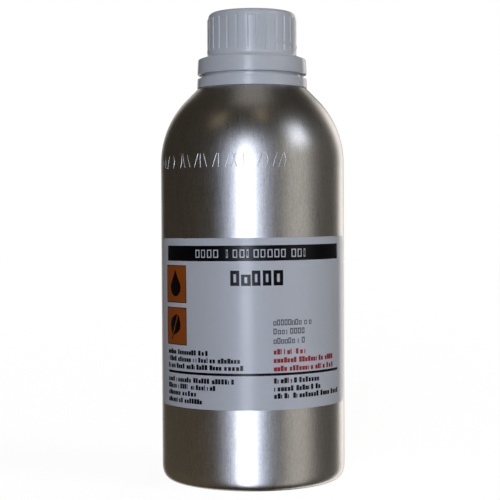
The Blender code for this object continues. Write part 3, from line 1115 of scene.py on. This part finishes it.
def frame_outlines(left, low, right, high, width):
    """The four sides of a rectangular frame, meeting at their corners."""
    return [
        rectangle(left, low, right, low + width),
        rectangle(left, high - width, right, high),
        rectangle(left, low + width, left + width, high - width),
        rectangle(right - width, low + width, right, high - width),
    ]


SQUARES = [(-43.5, 8.0, -29.5, 23.1), (-43.5, -8.9, -29.5, 6.2)]
BARS = [rectangle(-42.6, 24.8, 41.5, 30.9), rectangle(-42.6, -20.3, 41.4, -19.3)]
drawn("print_bars", BARS, BLACK_INK, FIRST_INK)
drawn("print_squares", [rectangle(*square) for square in SQUARES], ORANGE_INK, FIRST_INK)
borders = [side for square in SQUARES for side in frame_outlines(*square, 0.35)]
drawn("print_borders", borders, BROWN_INK, SECOND_INK)
signs = [drop_outline((-36.5, 14.2), 3.6), *leaf_outlines((-36.8, -1.0), 5.2)]
drawn("print_signs", signs, BLACK_INK, SECOND_INK)

# %% [markdown]
# ## Rows of print
# The rows hold no words. Small open boxes stand where letters would, tall and short, wide and narrow, in
# groups as long as words. A guide line marks each group's foot. The tree walks along it, sets down one box at
# each step and varies its width and height by a seeded draw, so the rows come out the same each time.

# %% Tree for rows of marks
def make_row_tree():
    tree = Tree(
        "rows_of_marks",
        [
            ("Height", "Float", 2.0 * MM),
            ("Width", "Float", 1.2 * MM),
            ("Stroke", "Float", 0.4 * MM),
            ("Pitch", "Float", 1.5 * MM),
            ("Short Share", "Float", 0.6),
            ("Short Height", "Float", 0.74),
            ("Narrow Share", "Float", 0.12),
            ("Seed", "Int", 1),
            ("Material", "Material", None),
        ],
    )
    guides = tree.add("GeometryNodeMeshToCurve", {0: tree.start.outputs[0]})
    points = tree.add(
        "GeometryNodeCurveToPoints", {0: guides.outputs[0], "Length": tree.given("Pitch")}, mode="LENGTH"
    )
    outer = {"Width": tree.given("Width"), "Height": tree.given("Height")}
    both = tree.math("MULTIPLY", tree.given("Stroke"), 2.0)
    inner = {
        "Width": tree.math("SUBTRACT", tree.given("Width"), both),
        "Height": tree.math("SUBTRACT", tree.given("Height"), both),
    }
    box = tree.add("GeometryNodeCurvePrimitiveQuadrilateral", outer)
    hole = tree.add("GeometryNodeCurvePrimitiveQuadrilateral", inner)
    joined = tree.add("GeometryNodeJoinGeometry", {0: box.outputs[0]})
    tree.tree.links.new(hole.outputs[0], joined.inputs[0])
    filled = tree.add("GeometryNodeFillCurve", {0: joined.outputs[0]})
    half_width = tree.math("MULTIPLY", tree.given("Width"), 0.5)
    half_height = tree.math("MULTIPLY", tree.given("Height"), 0.5)
    corner = tree.add("ShaderNodeCombineXYZ", {0: half_width, 2: half_height})
    links = {0: filled.outputs[0], "Translation": corner.outputs[0], "Rotation": (math.pi / 2, 0.0, 0.0)}
    standing = tree.add("GeometryNodeTransform", links)
    index = tree.add("GeometryNodeInputIndex").outputs[0]

    def draw(low, high, shift):
        seed = tree.math("ADD", tree.given("Seed"), shift)
        node = tree.add("FunctionNodeRandomValue", {2: low, 3: high, 7: index, 8: seed}, data_type="FLOAT")
        return node.outputs[1]

    def chosen(share, shift, rare, common):
        rare_one = tree.math("LESS_THAN", draw(0.0, 1.0, shift), share)
        return tree.math("MULTIPLY_ADD", rare_one, tree.math("SUBTRACT", rare, common), common)

    across = chosen(tree.given("Narrow Share"), 0.0, 0.36, draw(0.82, 1.0, 50.0))
    up = chosen(tree.given("Short Share"), 100.0, tree.given("Short Height"), 1.0)
    size = tree.add("ShaderNodeCombineXYZ", {0: across, 1: 1.0, 2: up})
    links = {"Points": points.outputs[0], "Instance": standing.outputs[0], "Scale": size.outputs[0]}
    marks = tree.add("GeometryNodeInstanceOnPoints", links)
    return tree.finish(marks.outputs[0], tree.given("Material"))


ROW_TREE = make_row_tree()


def word_guides(rows, pitch, seed):
    """Splits rows (left, right, foot) into guide lines of 4 to 9 marks with a gap between them."""
    draw = random.Random(seed)
    points = []
    edges = []
    for left, right, foot in rows:
        along = left
        while along < right - 1.5 * pitch:
            marks = draw.randint(4, 9)
            end = min(along + (marks - 1) * pitch, right - pitch)
            points += [(along * MM, 0.0, foot * MM), ((end + 0.01) * MM, 0.0, foot * MM)]
            edges.append((len(points) - 2, len(points) - 1))
            along = end + 1.7 * pitch
    return points, edges


def print_rows(name, rows, finish, height, stroke, seed, lift=FIRST_INK, **changes):
    pitch = height * 0.66
    points, edges = word_guides(rows, pitch, seed)
    values = {"height": height * MM, "width": pitch * 0.92 * MM, "stroke": stroke * MM, "pitch": pitch * MM}
    values.update(changes)
    piece = tree_piece(name, ROW_TREE, points, edges, seed=seed, material=finish, **values)
    return wrapped(piece, lift, INK_THICKNESS)


# %% Rows on the label
LEFT_ROWS = [(-42.6, -18.9, -12.6), (-42.6, -4.8, -15.4), (-42.6, -4.4, -18.2)]
LOWER_LEFT_ROWS = [(-42.6, -8.0, -23.6), (-42.6, -14.5, -26.3), (-42.6, -24.6, -29.0), (-42.6, -20.0, -31.9)]
GREY_ROWS = [(7.5, 24.5, -0.6), (7.5, 21.0, -4.1), (7.5, 21.0, -7.8)]
RED_ROWS = [(7.5, 22.0, -12.0), (7.5, 38.5, -15.3), (7.5, 37.3, -18.6)]
LOWER_RIGHT_ROWS = [(7.5, 28.3, -23.4), (7.5, 28.9, -26.5), (7.5, 41.3, -29.4)]
print_rows("print_left_rows", LEFT_ROWS + LOWER_LEFT_ROWS, BLACK_INK, 2.0, 0.60, 3)
print_rows("print_grey_rows", GREY_ROWS, GREY_INK, 2.3, 0.42, 5)
print_rows("print_red_rows", RED_ROWS, RED_INK, 2.1, 0.62, 7)
print_rows("print_right_rows", LOWER_RIGHT_ROWS, BLACK_INK, 2.1, 0.62, 9)


# %% Large row and header row
def given_words(words, pitch):
    points = []
    edges = []
    for left, marks, foot in words:
        points += [(left * MM, 0.0, foot * MM), ((left + (marks - 1) * pitch + 0.01) * MM, 0.0, foot * MM)]
        edges.append((len(points) - 2, len(points) - 1))
    return points, edges


def print_words(name, words, finish, height, width, stroke, pitch, seed, lift, **shares):
    points, edges = given_words(words, pitch)
    values = {"height": height * MM, "width": width * MM, "stroke": stroke * MM, "pitch": pitch * MM}
    piece = tree_piece(name, ROW_TREE, points, edges, seed=seed, material=finish, **values, **shares)
    return wrapped(piece, lift, INK_THICKNESS)


LARGE_WORDS = [(-9.2, 5, 15.1)]
LARGE_SHARES = {"short_share": 0.5, "narrow_share": 0.0}
print_words("print_large_row", LARGE_WORDS, BLACK_INK, 6.0, 3.9, 1.4, 4.25, 12, FIRST_INK, **LARGE_SHARES)
HEADER_WORDS = [(-24.3, 4, 26.15), (-10.8, 9, 26.15), (15.3, 3, 26.15)]
HEADER_SHARES = {"short_share": 0.0, "narrow_share": 0.15}
print_words("print_header_row", HEADER_WORDS, PAPER, 3.2, 2.1, 0.42, 2.72, 6, SECOND_INK, **HEADER_SHARES)

# %% [markdown]
# ## Stage, light and camera
# The stage is a pale floor in front of a white background. The light is that of a room: a tall window in
# front, a plain wall to the right, two warm lamps above and a pale wall behind. Satin metal shows little else
# than its surroundings, so each is one soft panel in the world, placed by direction.

# %% Floor
def make_floor():
    corners = [(-3, -3, 0), (3, -3, 0), (3, 3, 0), (-3, 3, 0)]
    floor = new_piece("floor", flat_mesh("floor", corners, [], [(0, 1, 2, 3)]))
    finish = bpy.data.materials.new("pale_floor")
    finish.use_nodes = True
    tree = finish.node_tree
    shader = tree.nodes["Principled BSDF"]
    shader.inputs["Base Color"].default_value = (0.45, 0.45, 0.46, 1.0)
    shader.inputs["Roughness"].default_value = 0.9
    place = shader_node(tree, "ShaderNodeTexCoord").outputs["Object"]
    bumped(tree, shader, noise(tree, place, 300.0), 0.05, 0.05 * MM)
    seen = shader_node(tree, "ShaderNodeLightPath").outputs["Is Camera Ray"]
    shader.inputs["Emission Color"].default_value = (1.0, 1.0, 1.0, 1.0)
    glow = calculate(tree, "MULTIPLY", seen, 0.9)
    tree.links.new(glow, shader.inputs["Emission Strength"])
    floor.data.materials.append(finish)
    floor.visible_glossy = False
    floor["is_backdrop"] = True
    return floor


make_floor()


# %% Soft panels of light
def make_soft_panel():
    """A mask for one panel in the world. Azimuth 0 is straight ahead of the label, in degrees."""
    inputs = [
        ("Direction", "Vector", None),
        ("Azimuth", "Float", 0.0),
        ("Half Width", "Float", 10.0),
        ("Low", "Float", -40.0),
        ("High", "Float", 40.0),
        ("Side Softness", "Float", 5.0),
        ("End Softness", "Float", 5.0),
    ]
    group, start, end = shader_group("soft_panel", inputs, [("Mask", "Float")])
    x, y, z = shader_node(group, "ShaderNodeSeparateXYZ", {0: start.outputs["Direction"]}).outputs
    ahead = calculate(group, "MULTIPLY", y, -1.0)
    azimuth = calculate(group, "DEGREES", calculate(group, "ARCTAN2", x, ahead))
    elevation = calculate(group, "DEGREES", calculate(group, "ARCSINE", z))
    away = calculate(group, "SUBTRACT", azimuth, start.outputs["Azimuth"])
    off = calculate(group, "ABSOLUTE", calculate(group, "WRAP", away, 180.0, -180.0))

    def fade(value, edge, softness, rising):
        low = calculate(group, "SUBTRACT", edge, softness)
        high = calculate(group, "ADD", edge, softness)
        links = {"Value": value, "From Min": low, "From Max": high}
        links.update({"To Min": 0.0, "To Max": 1.0} if rising else {"To Min": 1.0, "To Max": 0.0})
        node = shader_node(group, "ShaderNodeMapRange", links, interpolation_type="SMOOTHSTEP")
        return node.outputs["Result"]

    side = fade(off, start.outputs["Half Width"], start.outputs["Side Softness"], False)
    bottom = fade(elevation, start.outputs["Low"], start.outputs["End Softness"], True)
    top = fade(elevation, start.outputs["High"], start.outputs["End Softness"], False)
    both = calculate(group, "MULTIPLY", bottom, top)
    group.links.new(calculate(group, "MULTIPLY", side, both), end.inputs["Mask"])
    return group


# Panel colours: a cool window, a neutral wall and a warm room lamp.
WINDOW_WHITE = (0.88, 0.94, 1.06)
WINDOW_EDGE = (0.64, 0.72, 0.95)
WALL_WHITE = (1.0, 0.96, 0.9)
LAMP_WARM = (1.0, 0.78, 0.52)

# name: azimuth, half width, low, high, side softness, end softness, strength, colour
STUDIO = {
    "window": (-8, 7, -50, 20, 6, 20, 5.4, WINDOW_WHITE),
    "window_surround": (-8, 24, -50, 26, 14, 20, 1.15, WINDOW_EDGE),
    "walls": (70, 90, -60, 32, 10, 15, 0.06, WALL_WHITE),
    "side_wall": (58, 18, -50, 25, 12, 10, 0.5, WALL_WHITE),
    "side_window": (65, 12, 20, 40, 6, 6, 2.0, WINDOW_WHITE),
    "high_lamp_right": (20, 8, 55, 70, 5, 5, 0.5, LAMP_WARM),
    "high_lamp_left": (-60, 8, 42, 56, 5, 5, 0.4, LAMP_WARM),
    "back_right": (150, 12, -60, 25, 6, 10, 1.5, WALL_WHITE),
    "back_left": (-168, 10, -60, 25, 5, 10, 0.8, WALL_WHITE),
    "floor_glow": (-90, 75, -60, -6, 15, 5, 0.06, LAMP_WARM),
    "ceiling": (0, 180, 75, 95, 1, 6, 0.25, WALL_WHITE),
}
ROOM = (0.04, 0.034, 0.025)


def make_world():
    world = bpy.data.worlds.new("soft_room")
    world.use_nodes = True
    bpy.context.scene.world = world
    tree = world.node_tree
    tree.nodes.clear()
    direction = shader_node(tree, "ShaderNodeTexCoord").outputs["Generated"]
    panel_group = make_soft_panel()
    light = None
    for name, (azimuth, half_width, low, high, side, ends, strength, tint) in STUDIO.items():
        panel = shader_node(tree, "ShaderNodeGroup", node_tree=panel_group)
        panel.label = name
        color = tuple(channel * strength for channel in tint)
        tree.links.new(direction, panel.inputs["Direction"])
        for label, value in zip(
            ("Azimuth", "Half Width", "Low", "High", "Side Softness", "End Softness"),
            (azimuth, half_width, low, high, side, ends),
        ):
            panel.inputs[label].default_value = value
        links = {0: color, "Scale": panel.outputs[0]}
        lit = shader_node(tree, "ShaderNodeVectorMath", links, operation="SCALE").outputs[0]
        base = light if light else ROOM
        light = shader_node(tree, "ShaderNodeVectorMath", {0: lit, 1: base}, operation="ADD").outputs[0]
    room = shader_node(tree, "ShaderNodeBackground", {"Color": light})
    white = shader_node(tree, "ShaderNodeBackground", {"Color": (1.0, 1.0, 1.0, 1.0)})
    seen = shader_node(tree, "ShaderNodeLightPath").outputs["Is Camera Ray"]
    mix = shader_node(tree, "ShaderNodeMixShader", {0: seen, 1: room.outputs[0], 2: white.outputs[0]})
    output = shader_node(tree, "ShaderNodeOutputWorld")
    tree.links.new(mix.outputs[0], output.inputs["Surface"])
    return world


make_world()
bpy.context.scene.view_settings.view_transform = "Standard"


# %% Camera
CAMERA_PLACE = (0.0, -0.589, 0.1078)
CAMERA_LENS = 101.6
CAMERA_TURN = 0.11
CAMERA_DIP = 1.278
CAMERA_ROLL = -0.25


def make_camera():
    """A long lens at the height of the label's top, looking slightly down."""
    data = bpy.data.cameras.new("camera")
    data.sensor_width = 36.0
    data.lens = CAMERA_LENS
    camera = bpy.data.objects.new("camera", data)
    bpy.context.scene.collection.objects.link(camera)
    aim = Matrix.Rotation(math.radians(CAMERA_TURN), 4, "Z")
    pitch = Matrix.Rotation(math.radians(90 - CAMERA_DIP), 4, "X")
    roll = Matrix.Rotation(math.radians(CAMERA_ROLL), 4, "Z")
    camera.matrix_world = Matrix.Translation(CAMERA_PLACE) @ aim @ pitch @ roll
    bpy.context.scene.camera = camera
    return camera


make_camera()

# %% Sizes, and the end
look_low, look_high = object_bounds()
sizes = {
    "cad": [list(cad_low), list(cad_high)],
    "looks": [list(look_low), list(look_high)],
}
for name, box in sizes.items():
    print(name, "in mm:", [round(value / MM, 2) for corner in box for value in corner])
